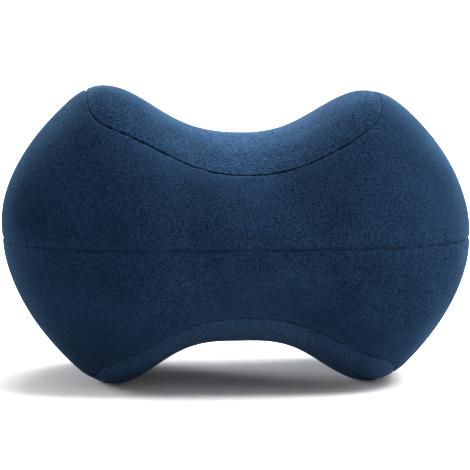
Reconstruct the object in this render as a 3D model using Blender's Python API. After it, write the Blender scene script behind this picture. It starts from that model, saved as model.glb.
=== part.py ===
"""Knee pillow standing on its two lower lobes: a filled body of cloth bands with a leg panel sewn in above and below.

Metres. X runs along the pillow, Y runs with the legs that lie in its hollows, and Z is up from the floor.
"""

from dataclasses import dataclass
from math import cos, exp, pi, radians, sin

import bmesh
import bpy
from mathutils import Vector

# Overall size of the pillow at its girth seam, which runs level all round
HALF_LENGTH = 0.1255
HALF_DEPTH = 0.100
GIRTH_ROUNDNESS = 2.77
GIRTH_HEIGHT = 0.0766

# Fullness of a slice taken across the pillow, at the waist and through the lobes
WAIST_FULLNESS = 2.04
LOBE_FULLNESS = 2.50
LOBE_PLACE = 0.070

# The floor presses the lower lobes flat, with a soft turn at the edge of each flat
FLOOR_TURN = 0.0008

# Cloth and sewing. Each seam pulls the skin in toward a spine inside the filling
CLOTH = 0.002
SEWING_GAP = 0.0003
SEAM_DRAW_IN = 0.0011
SEAM_REACH = 0.004
SPINE_HALF_LENGTH = 0.055

# Fineness of the mesh
PANEL_CELLS = 26
BAND_ROWS = 13
EDGE_CROWDING = 1.5
SHARP_ANGLE = 50


@dataclass(frozen=True)
class HalfShape:
    """One half of the pillow, above or below the girth seam."""

    side: int
    crown: float
    left_roundness: float
    right_roundness: float
    hollow_depth: float
    hollow_reach: float
    hollow_steepness: float
    hollow_shift: float
    panel_half_length: float
    panel_half_depth: float
    panel_shift: float
    corner_squareness: float


@dataclass(frozen=True)
class Finish:
    """Colour of one piece of the cloth, in linear light."""

    name: str
    colour: tuple[float, float, float]
    roughness: float


UPPER = HalfShape(
    side=1,
    crown=0.1028,
    left_roundness=2.03,
    right_roundness=2.02,
    hollow_depth=0.0467,
    hollow_reach=0.0568,
    hollow_steepness=3.05,
    hollow_shift=0.0018,
    panel_half_length=0.0775,
    panel_half_depth=0.0765,
    panel_shift=-0.003,
    corner_squareness=6.0,
)
LOWER = HalfShape(
    side=-1,
    crown=0.1085,
    left_roundness=1.76,
    right_roundness=1.80,
    hollow_depth=0.0514,
    hollow_reach=0.0561,
    hollow_steepness=3.05,
    hollow_shift=0.0010,
    panel_half_length=0.0800,
    panel_half_depth=0.0770,
    panel_shift=0.002,
    corner_squareness=6.0,
)

BAND_CLOTH = Finish("band_velour", (0.0098, 0.0273, 0.0666), 0.80)
UPPER_CLOTH = Finish("upper_panel_velour", (0.0160, 0.0420, 0.0950), 0.78)
LOWER_CLOTH = Finish("lower_panel_velour", (0.0090, 0.0250, 0.0610), 0.82)


def ease(share: float) -> float:
    """Go from 0 to 1 with a soft start and a soft end."""
    share = min(max(share, 0.0), 1.0)
    return share * share * (3 - 2 * share)


def oval_share(share: float, power: float) -> float:
    """Height of a rounded box of height 1 at a share of its half width, rounder for a smaller power."""
    return max(1 - min(abs(share), 1.0) ** power, 0.0) ** (1 / power)


def on_rounded_square(a: float, b: float, squareness: float) -> tuple[float, float]:
    """Draw a point of the unit square in, so that the square's edge becomes a rounded one."""
    reach = max(abs(a), abs(b))
    if reach == 0:
        return 0.0, 0.0
    length = (abs(a) ** squareness + abs(b) ** squareness) ** (1 / squareness)
    return a * reach / length, b * reach / length


def girth_place(a: float, b: float) -> Vector:
    """Place on the girth seam, seen from above, for a point on the edge of the unit square."""
    u, v = on_rounded_square(a, b, GIRTH_ROUNDNESS)
    return Vector((HALF_LENGTH * u, HALF_DEPTH * v))


def panel_place(half: HalfShape, a: float, b: float, spare: float) -> Vector:
    """Place in a leg panel's outline, seen from above, for a point of the unit square."""
    u, v = on_rounded_square(a, b, half.corner_squareness)
    along = half.panel_shift + (half.panel_half_length + spare) * u
    return Vector((along, (half.panel_half_depth + spare) * v))


def middle_height(half: HalfShape, x: float) -> float:
    """Height of the skin over the girth along the middle: an oval less the hollow for the leg."""
    oval = oval_share(x / HALF_LENGTH, half.left_roundness if x < 0 else half.right_roundness)
    hollow = exp(-((abs(x - half.hollow_shift) / half.hollow_reach) ** half.hollow_steepness))
    return half.crown * oval - half.hollow_depth * oval**0.5 * hollow


def pressed(height: float) -> float:
    """Height over the floor once the floor has pressed the skin that would lie below it flat."""
    if abs(height) < FLOOR_TURN:
        return (height + FLOOR_TURN) ** 2 / (4 * FLOOR_TURN)
    return max(height, 0.0)


def skin_point(half: HalfShape, place: Vector) -> Vector:
    """Raise a place, seen from above, to the pillow's skin."""
    depth = HALF_DEPTH * oval_share(place.x / HALF_LENGTH, GIRTH_ROUNDNESS)
    fullness = WAIST_FULLNESS + (LOBE_FULLNESS - WAIST_FULLNESS) * ease(abs(place.x) / LOBE_PLACE)
    share = place.y / depth if depth > 0 else 1.0
    rise = middle_height(half, place.x) * oval_share(share, fullness)
    return Vector((place.x, place.y, pressed(GIRTH_HEIGHT + half.side * rise)))


def girth_point(a: float, b: float) -> Vector:
    """Point of the girth seam outward of a point of the unit square."""
    return girth_place(a, b).to_3d() + Vector((0, 0, GIRTH_HEIGHT))


def sewn_in(half: HalfShape, point: Vector, a: float, b: float) -> Vector:
    """Pull a point of the skin in beside the leg panel's seam and the girth seam, and leave the floor's flat."""
    reach = max(abs(a), abs(b))
    if reach < 0.5 or point.z <= 0:
        return point
    a, b = a / reach, b / reach
    seam = skin_point(half, panel_place(half, a, b, 0.0))
    pull = sum(exp(-(((point - line).length / SEAM_REACH) ** 2)) for line in (seam, girth_point(a, b)))
    spine_x = min(max(point.x, -SPINE_HALF_LENGTH), SPINE_HALF_LENGTH)
    inward = (Vector((spine_x, 0, GIRTH_HEIGHT)) - point).normalized()
    return point + inward * pull * SEAM_DRAW_IN


def new_mesh() -> bmesh.types.BMesh:
    """Start an empty mesh whose points remember their place in the unit square."""
    bm = bmesh.new()
    bm.verts.layers.float.new("a")
    bm.verts.layers.float.new("b")
    return bm


def crowded(step: float) -> float:
    """Move an even step between -1 and 1 toward the nearer end, so that the mesh is finer by the seams."""
    pushed = 1 - (1 - abs(step)) ** EDGE_CROWDING
    return pushed if step > 0 else -pushed


def panel_grid(bm: bmesh.types.BMesh, half: HalfShape, spare: float) -> list[bmesh.types.BMVert]:
    """Lay a grid on the skin inside a leg panel's outline, facing outward."""
    a_layer = bm.verts.layers.float["a"]
    b_layer = bm.verts.layers.float["b"]
    made = bmesh.ops.create_grid(bm, x_segments=PANEL_CELLS, y_segments=PANEL_CELLS, size=1.0)
    for vert in made["verts"]:
        a, b = crowded(vert.co.x), crowded(vert.co.y)
        vert[a_layer] = a
        vert[b_layer] = b
        vert.co = sewn_in(half, skin_point(half, panel_place(half, a, b, spare)), a, b)
    if half.side < 0:
        faces = {face for vert in made["verts"] for face in vert.link_faces}
        bmesh.ops.reverse_faces(bm, faces=list(faces))
    bm.normal_update()
    return made["verts"]


def half_body(bm: bmesh.types.BMesh, half: HalfShape) -> None:
    """One half of the body: the bed under the leg panel, the step at its seam and the side band down to the girth."""
    a_layer = bm.verts.layers.float["a"]
    b_layer = bm.verts.layers.float["b"]
    bed = panel_grid(bm, half, 0.0)
    rim = [edge for edge in {e for vert in bed for e in vert.link_edges} if edge.is_boundary]
    for vert in bed:
        vert.co -= vert.normal * (CLOTH + SEWING_GAP)
    for row in range(BAND_ROWS + 1):
        share = sin(pi / 2 * (0.5 - 0.5 * cos(pi * row / BAND_ROWS)))
        made = bmesh.ops.extrude_edge_only(bm, edges=rim)["geom"]
        rim = [item for item in made if isinstance(item, bmesh.types.BMEdge)]
        for vert in {vert for edge in rim for vert in edge.verts}:
            a, b = vert[a_layer], vert[b_layer]
            place = panel_place(half, a, b, 0.0).lerp(girth_place(a, b), share)
            point = skin_point(half, place) if row < BAND_ROWS else girth_point(a, b)
            vert.co = sewn_in(half, point, a, b)


def finished(name: str, bm: bmesh.types.BMesh, finish: Finish) -> bpy.types.Object:
    """Put a mesh in the scene as one named piece, smooth shaded, with its own cloth."""
    mesh = bpy.data.meshes.new(name)
    bm.to_mesh(mesh)
    bm.free()
    mesh.shade_smooth()
    mesh.set_sharp_from_angle(angle=radians(SHARP_ANGLE))
    cloth = bpy.data.materials.new(finish.name)
    cloth.use_nodes = True
    surface = cloth.node_tree.nodes["Principled BSDF"]
    surface.inputs["Base Color"].default_value = (*finish.colour, 1.0)
    surface.inputs["Roughness"].default_value = finish.roughness
    surface.inputs["Metallic"].default_value = 0.0
    mesh.materials.append(cloth)
    obj = bpy.data.objects.new(name, mesh)
    bpy.context.scene.collection.objects.link(obj)
    return obj


def pillow_body(name: str, finish: Finish) -> bpy.types.Object:
    """Body: the whole filling in its upper and lower side bands, which the girth seam joins and draws in."""
    bm = new_mesh()
    half_body(bm, UPPER)
    half_body(bm, LOWER)
    bmesh.ops.remove_doubles(bm, verts=bm.verts[:], dist=0.00001)
    bmesh.ops.recalc_face_normals(bm, faces=bm.faces[:])
    return finished(name, bm, finish)


def leg_panel(name: str, half: HalfShape, finish: Finish) -> bpy.types.Object:
    """Leg panel: one sheet of cloth that follows the hollow and caps both lobes, set in beside its seam."""
    bm = new_mesh()
    panel_grid(bm, half, -SEWING_GAP)
    panel = finished(name, bm, finish)
    sheet = panel.modifiers.new("cloth thickness", "SOLIDIFY")
    sheet.thickness = CLOTH
    sheet.offset = -1
    sheet.use_even_offset = True
    return panel


def build() -> None:
    """Clear the scene, then build the body and both leg panels."""
    for obj in list(bpy.data.objects):
        bpy.data.objects.remove(obj, do_unlink=True)
    pillow_body("pillow_body", BAND_CLOTH)
    leg_panel("upper_leg_panel", UPPER, UPPER_CLOTH)
    leg_panel("lower_leg_panel", LOWER, LOWER_CLOTH)


build()
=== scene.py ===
"""Navy velour knee pillow, standing on its two lower lobes on white paper and seen along the legs' direction.

The pillow is a filled body, whose upper and lower side bands meet in a level girth seam, and two leg panels
sewn into the body's rim, one over the upper hollow and one under the lower. Lengths are in metres unless a name
ends in _mm. Z is up, X runs along the pillow and Y along the legs.
"""

import logging
import math
from dataclasses import dataclass, field
from enum import Enum
from typing import ClassVar

import bmesh
import bpy
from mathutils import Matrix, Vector, noise


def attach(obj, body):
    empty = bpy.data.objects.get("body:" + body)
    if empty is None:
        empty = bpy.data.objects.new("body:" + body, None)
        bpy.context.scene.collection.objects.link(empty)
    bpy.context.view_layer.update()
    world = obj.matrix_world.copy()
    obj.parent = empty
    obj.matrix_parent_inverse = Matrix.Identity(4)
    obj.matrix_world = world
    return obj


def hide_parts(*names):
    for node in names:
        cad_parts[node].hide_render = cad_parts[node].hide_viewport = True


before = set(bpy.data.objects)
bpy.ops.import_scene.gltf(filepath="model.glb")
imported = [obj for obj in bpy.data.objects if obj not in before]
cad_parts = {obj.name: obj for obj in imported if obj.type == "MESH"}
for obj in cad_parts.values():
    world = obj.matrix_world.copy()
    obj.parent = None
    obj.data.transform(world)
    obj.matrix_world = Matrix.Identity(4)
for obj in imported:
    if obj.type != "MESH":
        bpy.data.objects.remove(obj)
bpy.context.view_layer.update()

LOG = logging.getLogger("knee_pillow")

Linear = tuple[float, float, float]


def linear_colour(code: str) -> Linear:
    """Turn an sRGB colour into linear light.

    Args:
        code: Six hexadecimal digits, two for each of red, green and blue.

    Returns:
        Red, green and blue from 0 to 1 in linear light.
    """
    shares = [int(code[start : start + 2], 16) / 255 for start in (0, 2, 4)]
    red, green, blue = (s / 12.92 if s <= 0.04045 else ((s + 0.055) / 1.055) ** 2.4 for s in shares)
    return red, green, blue


def ease(share: float) -> float:
    """Go from 0 to 1 with a soft start and a soft end."""
    share = min(max(share, 0.0), 1.0)
    return share * share * (3 - 2 * share)


def oval(share: float, power: float) -> float:
    """Height of a rounded box of height 1 at a share of its half width, rounder for a smaller power."""
    return max(1 - min(abs(share), 1.0) ** power, 0.0) ** (1 / power)


def bell(distance: float, reach: float) -> float:
    """Fall from 1 at no distance to nearly 0 at twice the reach."""
    return math.exp(-((distance / reach) ** 2))


def rounded_square(a: float, b: float, squareness: float) -> tuple[float, float]:
    """Draw a point of the unit square in, so that the square's edge becomes a rounded one.

    Args:
        a: Place along the pillow, from -1 to 1.
        b: Place along the legs, from -1 to 1.
        squareness: Power of the rounded square, which is a circle at 2.

    Returns:
        The same place inside the rounded square.
    """
    reach = max(abs(a), abs(b))
    if reach == 0:
        return 0.0, 0.0
    length = (abs(a) ** squareness + abs(b) ** squareness) ** (1 / squareness)
    return a * reach / length, b * reach / length


class Side(Enum):
    """Which half of the pillow a piece belongs to, with the way that its skin lies from the girth seam."""

    UPPER = 1
    LOWER = -1


class Nap(Enum):
    """Which way the pile was last stroked on a piece, as a turn in degrees about the legs' direction."""

    ALONG = 0.0
    SLANTED = 52.0


@dataclass(frozen=True)
class HalfShape:
    """Sizes of one half of the pillow, above or below the girth seam."""

    side: Side
    # The oval along the pillow: its height over the girth seam, and its power on the left and on the right.
    crown: float
    left_roundness: float
    right_roundness: float
    # The hollow for a leg: how deep it is, how far it reaches, its power, and where its middle lies.
    hollow_depth: float
    hollow_reach: float
    hollow_steepness: float
    hollow_shift: float
    # The leg panel's outline, seen from above.
    panel_half_length: float
    panel_half_depth: float
    panel_shift: float
    corner_squareness: float
    # How far the filling has given in the middle of the hollow and on the shoulders.
    settled: float
    slack: float

    def middle_height(self, x: float) -> float:
        """Follow the pillow's middle line: an oval less the hollow for the leg.

        Args:
            x: Place along the pillow.

        Returns:
            The skin's distance from the girth seam's level there, up or down.
        """
        share = oval(x / PillowForm.HALF_LENGTH, self.left_roundness if x < 0 else self.right_roundness)
        hollow = math.exp(-((abs(x - self.hollow_shift) / self.hollow_reach) ** self.hollow_steepness))
        return self.crown * share - self.hollow_depth * math.sqrt(share) * hollow

    def panel_place(self, a: float, b: float, spare: float = 0.0) -> Vector:
        """Find a place in the leg panel's outline, seen from above.

        Args:
            a: Place in the unit square along the pillow.
            b: Place in the unit square along the legs.
            spare: How far the outline is widened on every side.

        Returns:
            The place, flat.
        """
        u, v = rounded_square(a, b, self.corner_squareness)
        along = self.panel_shift + (self.panel_half_length + spare) * u
        return Vector((along, (self.panel_half_depth + spare) * v))


UPPER_HALF = HalfShape(
    side=Side.UPPER,
    crown=0.1062,
    left_roundness=2.01,
    right_roundness=1.95,
    hollow_depth=0.0498,
    hollow_reach=0.0590,
    hollow_steepness=2.86,
    hollow_shift=0.0015,
    panel_half_length=0.0775,
    panel_half_depth=0.0765,
    panel_shift=-0.003,
    corner_squareness=6.0,
    settled=0.0012,
    slack=0.0016,
)
LOWER_HALF = HalfShape(
    side=Side.LOWER,
    crown=0.1085,
    left_roundness=1.76,
    right_roundness=1.80,
    hollow_depth=0.0506,
    hollow_reach=0.0561,
    hollow_steepness=3.05,
    hollow_shift=0.0010,
    panel_half_length=0.0800,
    panel_half_depth=0.0770,
    panel_shift=0.002,
    corner_squareness=6.0,
    settled=0.0009,
    slack=0.0006,
)


@dataclass(frozen=True)
class Sewing:
    """How the seams draw the cloth in, with the cloth's thickness and the gap that a seam leaves beside it."""

    # A broad dip on both sides of a seam, shallower at the girth seam.
    dip: float = 0.0004
    dip_reach: float = 0.0050
    girth_dip_share: float = 0.3
    # A narrow groove at the stitches: shallower over the lobes on a leg panel's seam, deeper on the right than
    # on the left on the girth seam.
    groove: float = 0.0011
    groove_reach: float = 0.0007
    lobe_groove_loss: float = 0.5
    girth_groove_share: float = 0.85
    right_groove_gain: float = 0.2
    # The stitches, which pull unevenly.
    unevenness: float = 1.0
    stitch_pitch: float = 0.0034
    # A low ridge where a leg panel is sewn on over a lobe.
    ridge: float = 0.0006
    ridge_reach: float = 0.011
    # Small puckers, deepest a little way off the seam.
    pucker: float = 0.00022
    pucker_place: float = 0.0025
    pucker_reach: float = 0.0045
    pucker_half_pitch: float = 0.0026
    gap: float = 0.0003
    cloth: float = 0.002

    def pull(self, distance: float, line: Vector, dip_share: float, groove_share: float) -> float:
        """Depth of the draw-in beside a seam, whose stitches pull a little unevenly.

        Args:
            distance: Distance from the seam.
            line: Nearest point of the seam.
            dip_share: Share of the broad dip's full depth.
            groove_share: Share of the narrow groove's full depth.

        Returns:
            How far the seam draws the cloth in there.
        """
        stitch = 1 + self.unevenness * noise.noise(line / self.stitch_pitch)
        broad = dip_share * self.dip * bell(distance, self.dip_reach)
        return broad + groove_share * stitch * self.groove * bell(distance, self.groove_reach)

    def crest(self, distance: float) -> float:
        """Height of the ridge over a lobe at a distance from the seam."""
        return self.ridge * bell(distance, self.ridge_reach)

    def ripple(self, distance: float, line: Vector) -> float:
        """Depth of the puckers at a distance from a point of the seam, in or out."""
        wave = noise.noise(line / self.pucker_half_pitch)
        return self.pucker * wave * bell(distance - self.pucker_place, self.pucker_reach)


@dataclass(frozen=True)
class PillowForm:
    """The pillow's stuffed shape, on which every piece of its cloth lies."""

    HALF_LENGTH: ClassVar[float] = 0.1255
    HALF_DEPTH: ClassVar[float] = 0.100

    # The girth seam's outline from above, and its height over the floor.
    girth_roundness: float = 2.77
    girth_height: float = 0.0766
    # Powers of the slice across the pillow, at the waist and on the lobes, which start at the lobe's place.
    waist_fullness: float = 2.04
    lobe_fullness: float = 2.50
    lobe_place: float = 0.070
    # The line inside the filling that the seams draw the skin toward.
    spine_half_length: float = 0.055
    # The floor presses the skin flat with a soft turn, and keeps the seams from showing close to it.
    floor_turn: float = 0.0008
    floor_hold: float = 0.006
    # The left lobes lean outward above the girth seam and are tucked in below it, most at these heights.
    left_lean: float = 0.0020
    lean_above: float = 0.024
    left_tuck: float = 0.0008
    tuck_below: float = 0.060
    # Where the filling has given, which fades out at the girth seam.
    girth_hold: float = 0.03
    settled_reach: float = 0.016
    slack_place: float = 0.100
    slack_reach: float = 0.018
    lump: float = 0.0005
    lump_size: float = 0.046
    # Shares of the way from a leg panel's middle to its rim: the seams are felt past the first, and the rim
    # climbs over a lobe past the second.
    seams_from: float = 0.5
    lobe_from: float = 0.6
    sewing: Sewing = Sewing()

    def girth_place(self, a: float, b: float) -> Vector:
        """Place on the girth seam, seen from above, for a point on the edge of the unit square."""
        u, v = rounded_square(a, b, self.girth_roundness)
        return Vector((self.HALF_LENGTH * u, self.HALF_DEPTH * v))

    def girth_point(self, a: float, b: float) -> Vector:
        """Point of the girth seam for a point on the edge of the unit square."""
        return self.girth_place(a, b).to_3d() + Vector((0, 0, self.girth_height))

    def pressed(self, height: float) -> float:
        """Press flat the skin that would lie below the floor.

        Args:
            height: Height over the floor before it is pressed.

        Returns:
            The height after it, which is never below the floor.
        """
        if abs(height) < self.floor_turn:
            return (height + self.floor_turn) ** 2 / (4 * self.floor_turn)
        return max(height, 0.0)

    def skin_point(self, half: HalfShape, place: Vector) -> Vector:
        """Raise a place to the pillow's plain skin, which the floor presses flat under the lower lobes.

        Args:
            half: The half of the pillow that the place belongs to.
            place: The place seen from above.

        Returns:
            The point of the skin over or under that place.
        """
        depth = self.HALF_DEPTH * oval(place.x / self.HALF_LENGTH, self.girth_roundness)
        grown = ease(abs(place.x) / self.lobe_place)
        fullness = self.waist_fullness + (self.lobe_fullness - self.waist_fullness) * grown
        share = place.y / depth if depth > 0 else 1.0
        rise = half.middle_height(place.x) * oval(share, fullness)
        return Vector((place.x, place.y, self.pressed(self.girth_height + half.side.value * rise)))

    def inward(self, point: Vector) -> Vector:
        """Direction from a point of the skin toward the spine inside the filling."""
        spine_x = min(max(point.x, -self.spine_half_length), self.spine_half_length)
        return (Vector((spine_x, 0, self.girth_height)) - point).normalized()

    def give(self, half: HalfShape, point: Vector) -> float:
        """Depth by which the filling gives: slight lumps, the settled middle of the hollow and slack shoulders.

        Args:
            half: The half of the pillow that the point belongs to.
            point: The point on the plain skin.

        Returns:
            How far the skin lies inside the plain one there.
        """
        middle = half.settled * bell(point.x - half.hollow_shift, self.settled_reach)
        shoulder = half.slack * bell(abs(point.x) - self.slack_place, self.slack_reach)
        off_girth = ease(abs(point.z - self.girth_height) / self.girth_hold)
        return self.lump * noise.noise(point / self.lump_size) + off_girth * (middle + shoulder)

    def drawn(self, half: HalfShape, point: Vector, a: float, b: float) -> float:
        """Depth by which the leg panel's seam and the girth seam draw the skin in, less the ridge over a lobe.

        Args:
            half: The half of the pillow that the point belongs to.
            point: The point on the plain skin.
            a: Its place in the unit square along the pillow.
            b: Its place in the unit square along the legs.

        Returns:
            How far the two seams draw the skin in there.
        """
        reach = max(abs(a), abs(b))
        if reach <= self.seams_from:
            return 0.0
        a, b = a / reach, b / reach
        sewing = self.sewing
        seam = self.skin_point(half, half.panel_place(a, b))
        girth = self.girth_point(a, b)
        over_lobe = ease((abs(a) - self.lobe_from) / (1 - self.lobe_from))
        seam_groove = 1 - sewing.lobe_groove_loss * over_lobe
        girth_groove = sewing.girth_groove_share + sewing.right_groove_gain * math.copysign(over_lobe, girth.x)
        pulls = ((seam, 1.0, seam_groove), (girth, sewing.girth_dip_share, girth_groove))
        depth = -over_lobe * sewing.crest((point - seam).length)
        for line, dip_share, groove_share in pulls:
            away = (point - line).length
            depth += sewing.pull(away, line, dip_share, groove_share) + sewing.ripple(away, line)
        return depth

    def leant(self, point: Vector) -> Vector:
        """Lean the left lobes outward above the girth seam and tuck them in below it.

        Args:
            point: The point before the lean.

        Returns:
            The point after it.
        """
        rise = point.z - self.girth_height
        most, height = (self.left_lean, self.lean_above) if rise > 0 else (self.left_tuck, self.tuck_below)
        swing = rise / height
        on_left = ease((-point.x - self.lobe_place / 2) / self.lobe_place)
        return point - Vector((most * swing * math.exp((1 - swing * swing) / 2) * on_left, 0, 0))

    def dressed(self, half: HalfShape, point: Vector, a: float, b: float) -> Vector:
        """Give a point of the plain skin the filling's give, the seams' draw-in and the left lobes' lean.

        Args:
            half: The half of the pillow that the point belongs to.
            point: The point on the plain skin.
            a: Its place in the unit square along the pillow.
            b: Its place in the unit square along the legs.

        Returns:
            The point on the dressed skin, never below the floor.
        """
        off_floor = ease(point.z / self.floor_hold)
        depth = off_floor * (self.give(half, point) + self.drawn(half, point, a, b))
        moved = self.leant(point + self.inward(point) * depth)
        moved.z = max(moved.z, 0.0)
        return moved


@dataclass
class ClothGrid:
    """A mesh of one piece, whose points remember their place in the unit square of a leg panel.

    A place on the square's edge also stands for the side band's points between that place and the girth seam.
    """

    form: PillowForm
    cells: int = 124
    crowding: float = 1.6
    bm: bmesh.types.BMesh = field(default_factory=bmesh.new)

    def __post_init__(self) -> None:
        """Add layers for each point's place in the unit square and the way that the plain skin faces there."""
        self.bm.verts.layers.float.new("a")
        self.bm.verts.layers.float.new("b")
        self.bm.verts.layers.float_vector.new("outward")

    def crowded(self, step: float) -> float:
        """Move an even step between -1 and 1 toward the nearer end, so that the mesh is finer by the seam."""
        return math.copysign(1 - (1 - abs(step)) ** self.crowding, step)

    def lay_panel(self, half: HalfShape, spare: float) -> list[bmesh.types.BMVert]:
        """Lay a grid on the skin inside the leg panel's outline, facing outward.

        Args:
            half: The half of the pillow that the panel covers.
            spare: How far the grid's rim lies outside the seam.

        Returns:
            The points of the grid.
        """
        a_layer = self.bm.verts.layers.float["a"]
        b_layer = self.bm.verts.layers.float["b"]
        outward = self.bm.verts.layers.float_vector["outward"]
        verts = bmesh.ops.create_grid(self.bm, x_segments=self.cells, y_segments=self.cells, size=1.0)["verts"]
        for vert in verts:
            a, b = self.crowded(vert.co.x), self.crowded(vert.co.y)
            vert[a_layer] = a
            vert[b_layer] = b
            vert.co = self.form.skin_point(half, half.panel_place(a, b, spare))
        if half.side is Side.LOWER:
            faces = list(dict.fromkeys(face for vert in verts for face in vert.link_faces))
            bmesh.ops.reverse_faces(self.bm, faces=faces)
        self.bm.normal_update()
        for vert in verts:
            vert[outward] = vert.normal
            vert.co = self.form.dressed(half, vert.co, vert[a_layer], vert[b_layer])
        return verts

    def sink(self, verts: list[bmesh.types.BMVert], depth: float) -> None:
        """Move points into the filling, straight against the plain skin, so that a groove doesn't fold over.

        Args:
            verts: The points to move.
            depth: How far they move.
        """
        outward = self.bm.verts.layers.float_vector["outward"]
        for vert in verts:
            vert.co -= vert[outward] * depth

    def thicken(self, thickness: float) -> None:
        """Give the cloth its thickness under the side that shows, and close its cut edge all round.

        Args:
            thickness: Thickness of the cloth.
        """
        inner = bmesh.ops.extrude_face_region(self.bm, geom=self.bm.faces[:])["geom"]
        self.sink([item for item in inner if isinstance(item, bmesh.types.BMVert)], thickness)
        bmesh.ops.recalc_face_normals(self.bm, faces=self.bm.faces[:])

    def finish(self, name: str) -> bpy.types.Object:
        """Put the mesh in the scene as one smooth piece.

        Args:
            name: Name of the new object.

        Returns:
            The new object.
        """
        mesh = bpy.data.meshes.new(name)
        self.bm.to_mesh(mesh)
        self.bm.free()
        mesh.shade_smooth()
        obj = bpy.data.objects.new(name, mesh)
        bpy.context.scene.collection.objects.link(obj)
        return obj


class NodeKit:
    """The node tree of a material or of the world, with one short call for each node."""

    def __init__(self, owner: bpy.types.Material | bpy.types.World, output: str) -> None:
        """Clear the owner's tree, so that it holds only its output.

        Args:
            owner: The material or the world that the nodes belong to.
            output: Type of the output node without the words ShaderNodeOutput.
        """
        self.owner = owner
        self.owner.use_nodes = True
        self.tree = owner.node_tree
        self.tree.nodes.clear()
        self.output = self.tree.nodes.new("ShaderNodeOutput" + output)

    def finish(self, surface: bpy.types.Node) -> bpy.types.Material | bpy.types.World:
        """Link the last node to the output and hand over the finished material or world."""
        self.tree.links.new(surface.outputs[0], self.output.inputs["Surface"])
        return self.owner

    def add(self, kind: str, settings: dict | None = None, **sockets: object) -> bpy.types.Node:
        """Add one node with its settings and its inputs.

        Args:
            kind: Node type without the word ShaderNode.
            settings: Properties of the node, such as its operation.
            sockets: Inputs by name, with underscores for spaces, or by number as i0, i1 and so on. A node
                output is linked and a value is set.

        Returns:
            The new node.
        """
        node = self.tree.nodes.new("ShaderNode" + kind)
        for key, value in (settings or {}).items():
            setattr(node, key, value)
        for key, value in sockets.items():
            numbered = key[0] == "i" and key[1:].isdigit()
            socket = node.inputs[int(key[1:]) if numbered else key.replace("_", " ")]
            if isinstance(value, bpy.types.NodeSocket):
                self.tree.links.new(value, socket)
            else:
                socket.default_value = value
        return node


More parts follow.
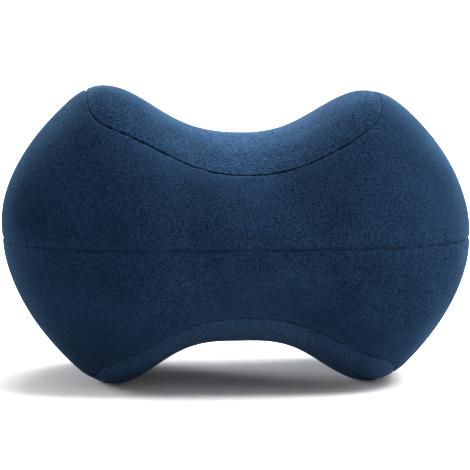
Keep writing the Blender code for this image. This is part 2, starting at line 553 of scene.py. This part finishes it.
@dataclass(frozen=True)
class Velour:
    """Short-pile polyester velour, a warp-knitted cloth with a sheared, steam-set pile.

    The cloth's colour holds painted light: a painted sheen, paler blue where the pile is seen side on, painted
    light and shade, paler on the side that faces one way and darker on the other, and a painted highlight along
    the pillow's middle. Its own sheen shines where it is lit side on, it is nearly black in the hollows and
    blue on the crests, and it is cloudy where a hand has stroked it.
    """

    # Nearly all values of Blender's noise lie between these.
    FLECK_SPREAD: ClassVar[tuple[float, float]] = (0.35, 0.65)
    CLOUD_SPREAD: ClassVar[tuple[float, float]] = (0.3, 0.7)

    name: str
    nap: Nap
    base: Linear = linear_colour("122133")
    # Painted sheen: the colour is paler where the pile is seen side on, by a power of how far the cloth turns
    # away.
    rim: Linear = linear_colour("2C4158")
    painted_sheen_power: float = 3.8
    # Painted light and shade: the cloth is paler on the side that faces this way and darker on the side turned
    # from it, by this share.
    painted_light_side: tuple[float, float, float] = (0.50, 0.0, 0.85)
    depth: float = 0.2
    # Real tufts are 0.1 to 0.2 mm across, too fine for the render, whose pixels are 0.5 mm apart. So one fleck
    # stands for a small bunch of tufts, drawn out along the nap by the combing.
    fleck_mm: float = 0.52
    combing: float = 0.38
    contrast: float = 0.44
    pile_mm: float = 0.65
    # Broad clouds where the pile lies this way and that, which also bend the nap a little.
    cloud_mm: float = 34.0
    cloudiness: float = 0.2
    swirl_mm: float = 4.0
    # Painted highlight: paler in the middle of the pillow, fading out this far from it.
    painted_highlight: float = 0.1
    painted_highlight_mm: float = 65.0
    # The fibres' fuzz scatters light that grazes them. The cloth has no gloss of its own.
    sheen: float = 0.05
    sheen_tint: Linear = linear_colour("86B4E0")
    sheen_roughness: float = 0.25
    roughness: float = 0.9

    def make(self) -> bpy.types.Material:
        """Build the material from object coordinates.

        Returns:
            The finished material.
        """
        kit = NodeKit(bpy.data.materials.new(self.name), "Material")
        where = kit.add("TexCoord")
        place = where.outputs["Object"]
        cloud = kit.add("TexNoise", Vector=place, Scale=1000 / self.cloud_mm, Detail=2.0, Roughness=0.5)
        swirl = kit.add("VectorMath", {"operation": "SCALE"}, i0=cloud.outputs[1], Scale=self.swirl_mm / 1000)
        bent = kit.add("VectorMath", {"operation": "ADD"}, i0=place, i1=swirl.outputs[0])
        turned = kit.add("Mapping", Vector=bent.outputs[0], Rotation=(0.0, math.radians(self.nap.value), 0.0))
        combed = kit.add("Mapping", Vector=turned.outputs[0], Scale=(self.combing, 1.0, 1.0))
        fleck = kit.add("TexNoise", Vector=combed.outputs[0], Scale=1000 / self.fleck_mm, Detail=0.0)
        bump = kit.add("Bump", Height=fleck.outputs[0], Strength=1.0, Distance=self.pile_mm / 1000)
        # Painted sheen: the base colour turns toward the rim colour as the cloth turns side on.
        facing = kit.add("LayerWeight", Blend=0.5).outputs["Facing"]
        painted_sheen_share = kit.add("Math", {"operation": "POWER"}, i0=facing, i1=self.painted_sheen_power)
        plain = kit.add(
            "Mix",
            {"data_type": "RGBA"},
            i0=painted_sheen_share.outputs[0],
            i6=(*self.base, 1.0),
            i7=(*self.rim, 1.0),
        )
        # Painted light and shade by which way the surface faces.
        lean = kit.add("VectorMath", {"operation": "DOT_PRODUCT"}, i0=where.outputs["Normal"], i1=self.painted_light_side)
        swings = (
            (fleck.outputs[0], self.FLECK_SPREAD, self.contrast),
            (cloud.outputs[0], self.CLOUD_SPREAD, self.cloudiness),
            (lean.outputs[1], (-1.0, 1.0), self.depth),
        )
        shades = [
            kit.add("MapRange", Value=value, From_Min=low, From_Max=high, To_Min=1 - share, To_Max=1 + share)
            for value, (low, high), share in swings
        ]
        # Painted highlight along the pillow's middle.
        along = kit.add("SeparateXYZ", Vector=place).outputs[0]
        off_middle = kit.add("Math", {"operation": "ABSOLUTE"}, i0=along)
        shades.append(
            kit.add(
                "MapRange",
                {"interpolation_type": "SMOOTHSTEP"},
                Value=off_middle.outputs[0],
                From_Min=0.0,
                From_Max=self.painted_highlight_mm / 1000,
                To_Min=1 + self.painted_highlight,
                To_Max=1.0,
            )
        )
        colour = plain.outputs[2]
        for shade in shades:
            colour = kit.add("VectorMath", {"operation": "SCALE"}, i0=colour, Scale=shade.outputs[0]).outputs[0]
        cloth = kit.add(
            "BsdfPrincipled",
            Base_Color=colour,
            Roughness=self.roughness,
            Specular_IOR_Level=0.0,
            Sheen_Weight=self.sheen,
            Sheen_Roughness=self.sheen_roughness,
            Sheen_Tint=(*self.sheen_tint, 1.0),
            Normal=bump.outputs[0],
        )
        return kit.finish(cloth)


@dataclass
class PillowBody:
    """The filled body: a bed under each leg panel, and the two side bands, which meet in the girth seam."""

    form: PillowForm
    cloth: Velour
    name: str = "filled_body"
    band_rows: int = 40
    merge_distance: float = 0.00001

    def row_share(self, row: int) -> float:
        """Share of a side band's width at a row of its mesh, with the rows closest at the two seams."""
        return math.sin(math.pi / 2 * (0.5 - 0.5 * math.cos(math.pi * row / self.band_rows)))

    def half_body(self, grid: ClothGrid, half: HalfShape) -> None:
        """Build one half: the bed, the step at the leg panel's seam and the side band.

        Args:
            grid: The mesh that the half is added to.
            half: The half of the pillow to build.
        """
        form = self.form
        a_layer = grid.bm.verts.layers.float["a"]
        b_layer = grid.bm.verts.layers.float["b"]
        bed = grid.lay_panel(half, 0.0)
        edges = dict.fromkeys(edge for vert in bed for edge in vert.link_edges)
        rim = [edge for edge in edges if edge.is_boundary]
        grid.sink(bed, form.sewing.cloth + form.sewing.gap)
        for row in range(self.band_rows + 1):
            made = bmesh.ops.extrude_edge_only(grid.bm, edges=rim)["geom"]
            rim = [item for item in made if isinstance(item, bmesh.types.BMEdge)]
            for vert in dict.fromkeys(vert for edge in rim for vert in edge.verts):
                a, b = vert[a_layer], vert[b_layer]
                place = half.panel_place(a, b).lerp(form.girth_place(a, b), self.row_share(row))
                plain = form.skin_point(half, place) if row < self.band_rows else form.girth_point(a, b)
                vert.co = form.dressed(half, plain, a, b)

    def build(self) -> bpy.types.Object:
        """Returns:
            The finished object.
        """
        grid = ClothGrid(self.form)
        self.half_body(grid, UPPER_HALF)
        self.half_body(grid, LOWER_HALF)
        bmesh.ops.remove_doubles(grid.bm, verts=grid.bm.verts[:], dist=self.merge_distance)
        bmesh.ops.recalc_face_normals(grid.bm, faces=grid.bm.faces[:])
        body = grid.finish(self.name)
        body.data.materials.append(self.cloth.make())
        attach(body, "root")
        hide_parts("pillow_body")
        return body


@dataclass
class LegPanel:
    """One leg panel: a sheet of velour that follows the hollow, caps both lobes and is sewn in at its rim."""

    form: PillowForm
    half: HalfShape
    cloth: Velour
    name: str
    node: str
    slot: str
    flat_size: tuple[float, float]
    # Share of the flat size's rectangle that the cut fills, whose corners are rounded.
    corner_share: float = 0.964

    def build(self, rests_on: bpy.types.Object) -> bpy.types.Object:
        """Args:
            rests_on: The body that the panel is sewn to. It is not used.

        Returns:
            The finished object.
        """
        grid = ClothGrid(self.form)
        grid.lay_panel(self.half, -self.form.sewing.gap)
        grid.thicken(self.form.sewing.cloth)
        panel = grid.finish(self.name)
        panel.data.materials.append(self.cloth.make())
        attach(panel, "root")
        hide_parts(self.node)
        return panel


@dataclass(frozen=True)
class Lamp:
    """One square, soft studio lamp that faces the pillow."""

    AIM: ClassVar[tuple[float, float, float]] = (0.0, 0.0, 0.08)

    name: str
    place: tuple[float, float, float]
    size: float
    watts: float

    def hang(self) -> bpy.types.Object:
        """Hang the lamp in the scene.

        Returns:
            The lamp.
        """
        light = bpy.data.lights.new(self.name, "AREA")
        light.shape = "SQUARE"
        light.size = self.size
        light.energy = self.watts
        lamp = bpy.data.objects.new(self.name, light)
        lamp.location = self.place
        lamp.rotation_euler = (Vector(self.AIM) - Vector(self.place)).to_track_quat("-Z", "Y").to_euler()
        bpy.context.scene.collection.objects.link(lamp)
        return lamp


@dataclass
class Studio:
    """Matt white paper that sweeps up into a back wall, a white room and soft lamps above and behind."""

    half_width: float = 2.0
    front: float = -2.0
    back: float = 1.6
    sweep: float = 0.8
    sweep_steps: int = 24
    height: float = 2.5
    paper: Linear = linear_colour("FAFAFA")
    # The room's light, which falls from full to dim toward the dim side, and how bright the camera sees it.
    room_light: float = 1.35
    dim_light: float = 0.0
    dim_side: tuple[float, float, float] = (-0.70, -0.66, 0.27)
    dim_reach: float = 0.9
    seen_light: float = 1.7
    lamps: tuple[Lamp, ...] = (
        Lamp("main lamp", (0.75, -0.1, 1.6), 1.2, 70.0),
        Lamp("back lamp", (0.05, 1.0, 1.25), 0.8, 31.0),
        Lamp("right rim lamp", (1.0, 0.9, 1.0), 0.8, 12.0),
        Lamp("left rim lamp", (-1.1, 1.3, 0.25), 0.5, 54.0),
    )

    def floor(self) -> bpy.types.Object:
        """Build the floor and the wall it sweeps up into as one strip.

        Returns:
            The floor, which isn't part of the object.
        """
        bm = bmesh.new()
        start = bm.verts.new((-self.half_width, self.front, 0.0))
        edge = bm.verts.new((-self.half_width, self.back, 0.0))
        bm.edges.new((start, edge))
        bend = bmesh.ops.spin(
            bm,
            geom=[edge],
            cent=(-self.half_width, self.back, self.sweep),
            axis=(1, 0, 0),
            angle=math.pi / 2,
            steps=self.sweep_steps,
        )["geom_last"]
        top = bmesh.ops.extrude_vert_indiv(bm, verts=[v for v in bend if isinstance(v, bmesh.types.BMVert)])
        bmesh.ops.translate(bm, verts=top["verts"], vec=(0, 0, self.height))
        wide = bmesh.ops.extrude_edge_only(bm, edges=bm.edges[:])["geom"]
        moved = [item for item in wide if isinstance(item, bmesh.types.BMVert)]
        bmesh.ops.translate(bm, verts=moved, vec=(2 * self.half_width, 0, 0))
        bmesh.ops.recalc_face_normals(bm, faces=bm.faces[:])
        mesh = bpy.data.meshes.new("studio_floor")
        bm.to_mesh(mesh)
        bm.free()
        mesh.shade_smooth()
        floor = bpy.data.objects.new("studio_floor", mesh)
        bpy.context.scene.collection.objects.link(floor)
        kit = NodeKit(bpy.data.materials.new("matt white studio paper"), "Material")
        mesh.materials.append(kit.finish(kit.add("BsdfDiffuse", Color=(*self.paper, 1.0))))
        return floor

    def room(self) -> bpy.types.World:
        """Make a white room that is dimmer at the front left, though the camera sees it white all round.

        Returns:
            The world, which lights the scene.
        """
        kit = NodeKit(bpy.data.worlds.new("white room"), "World")
        way = kit.add("TexCoord").outputs["Generated"]
        toward = kit.add("VectorMath", {"operation": "DOT_PRODUCT"}, i0=way, i1=self.dim_side).outputs[1]
        light = kit.add(
            "MapRange",
            Value=toward,
            From_Min=0.0,
            From_Max=self.dim_reach,
            To_Min=self.room_light,
            To_Max=self.dim_light,
        )
        seen = kit.add("LightPath").outputs["Is Camera Ray"]
        strength = kit.add("Mix", {"data_type": "FLOAT"}, i0=seen, i2=light.outputs[0], i3=self.seen_light)
        return kit.finish(kit.add("Background", Color=(1, 1, 1, 1), Strength=strength.outputs[0]))

    def build(self) -> None:
        """Set up the floor, the lamps, the white room and plain colours."""
        self.floor()
        for lamp in self.lamps:
            lamp.hang()
        bpy.context.scene.world = self.room()
        bpy.context.scene.view_settings.view_transform = "Standard"


@dataclass
class PhotoCamera:
    """The camera: a long lens a little above the pillow's middle and a few degrees to its left.

    Its angles are in degrees, and its lens and sensor in millimetres.
    """

    azimuth: float = -4.0
    elevation: float = 5.0
    distance: float = 1.2
    lens: float = 168.8
    sensor: float = 36.0
    aim: tuple[float, float, float] = (0.0, 0.0, 0.0758)

    def build(self) -> bpy.types.Object:
        """Place the camera and make it the scene's own.

        Returns:
            The camera.
        """
        data = bpy.data.cameras.new("photo camera")
        data.lens = self.lens
        data.sensor_width = self.sensor
        camera = bpy.data.objects.new("photo camera", data)
        turn, lift = math.radians(self.azimuth), math.radians(self.elevation)
        back = Vector((math.sin(turn) * math.cos(lift), -math.cos(turn) * math.cos(lift), math.sin(lift)))
        camera.location = Vector(self.aim) + back * self.distance
        camera.rotation_euler = back.to_track_quat("Z", "Y").to_euler()
        bpy.context.scene.collection.objects.link(camera)
        bpy.context.scene.camera = camera
        return camera


def report(obj: bpy.types.Object) -> None:
    """Log a finished piece's name and its number of faces."""
    LOG.info("%s: %d faces", obj.name, len(obj.data.polygons))


def main() -> None:
    """Build the pillow's pieces in order, then the studio and the camera."""
    logging.basicConfig(level=logging.INFO, format="%(message)s")
    form = PillowForm()
    # Every piece's colour holds a painted sheen and painted light and shade by which way it faces; the upper
    # panel's also holds a painted highlight along its middle.
    band = Velour("navy velour, side bands", Nap.SLANTED)
    top = Velour(
        "navy velour, upper leg panel",
        Nap.ALONG,
        painted_light_side=(-0.80, 0.0, 0.55),
        fleck_mm=0.6,
        contrast=0.48,
        combing=0.3,
        sheen=0.1,
        painted_highlight=0.42,
    )
    bottom = Velour("navy velour, lower leg panel", Nap.ALONG, painted_light_side=(0.0, -0.60, -0.80), depth=0.35)
    body = PillowBody(form, band).build()
    report(body)
    panels = (
        LegPanel(
            form=form,
            half=UPPER_HALF,
            cloth=top,
            name="upper_panel_cloth",
            node="upper_leg_panel",
            slot="upper_panel_velour",
            flat_size=(0.165, 0.162),
        ),
        LegPanel(
            form=form,
            half=LOWER_HALF,
            cloth=bottom,
            name="lower_panel_cloth",
            node="lower_leg_panel",
            slot="lower_panel_velour",
            flat_size=(0.170, 0.163),
        ),
    )
    for panel in panels:
        report(panel.build(body))
    Studio().build()
    PhotoCamera().build()


if __name__ == "__main__":
    main()
